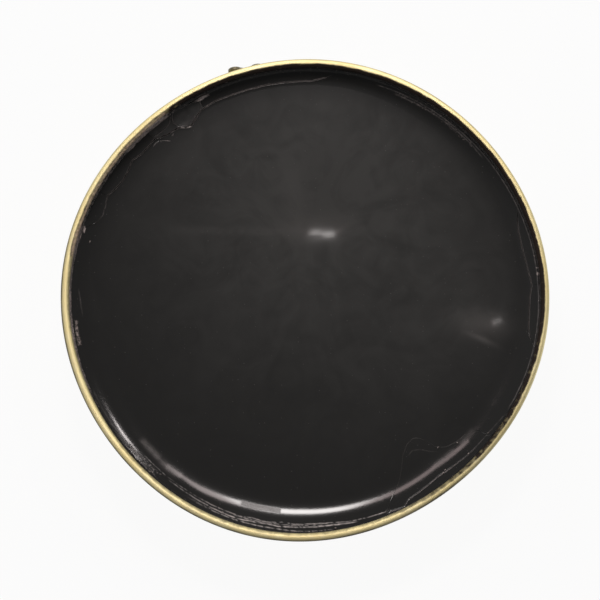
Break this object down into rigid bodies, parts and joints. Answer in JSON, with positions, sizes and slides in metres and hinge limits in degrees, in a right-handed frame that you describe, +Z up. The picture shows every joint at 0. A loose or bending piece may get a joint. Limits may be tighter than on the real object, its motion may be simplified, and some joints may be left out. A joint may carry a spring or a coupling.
{
  "type": "shoe polish tin",
  "caption": "Open round tin of black wax polish, with a rolled gold rim, a cracked crust of wax and a butterfly lid opener that turns on a rivet in the wall.",
  "frame": {"origin": "centre of the tin's underside, on the surface it stands on", "axes": "+Z up, square to the floor of the tin; the opener's rivet points along the direction 104.5 degrees anticlockwise from +X"},
  "size_m": [0.095, 0.0953, 0.018],
  "materials": {
    "gold_lacquered_tinplate": "clear gold lacquer over tinplate, smeared with wax inside",
    "black_wax": "black wax polish, satin, cloudy where it has dried",
    "tinned_steel": "stamped tinned steel, dulled by handling"
  },
  "bodies": {
    "tin": {"tin_base": "gold_lacquered_tinplate", "polish_cake": "black_wax", "crust_right_lower": "black_wax", "crust_right_upper": "black_wax", "crust_top": "black_wax", "crust_chip": "black_wax", "crust_sliver": "black_wax", "crust_scallop_high": "black_wax", "crust_scallop_middle": "black_wax", "crust_scallop_low": "black_wax", "crust_lower_right": "black_wax", "opener_rivet": "tinned_steel"},
    "opener": {"opener_key": "tinned_steel"}
  },
  "joints": [
    {"name": "key_turn", "type": "hinge", "parent": "tin", "child": "opener", "pos_m": [-0.01154, 0.04461, 0.009], "axis": [-0.2504, 0.9681, 0], "continuous": true}
  ]
}
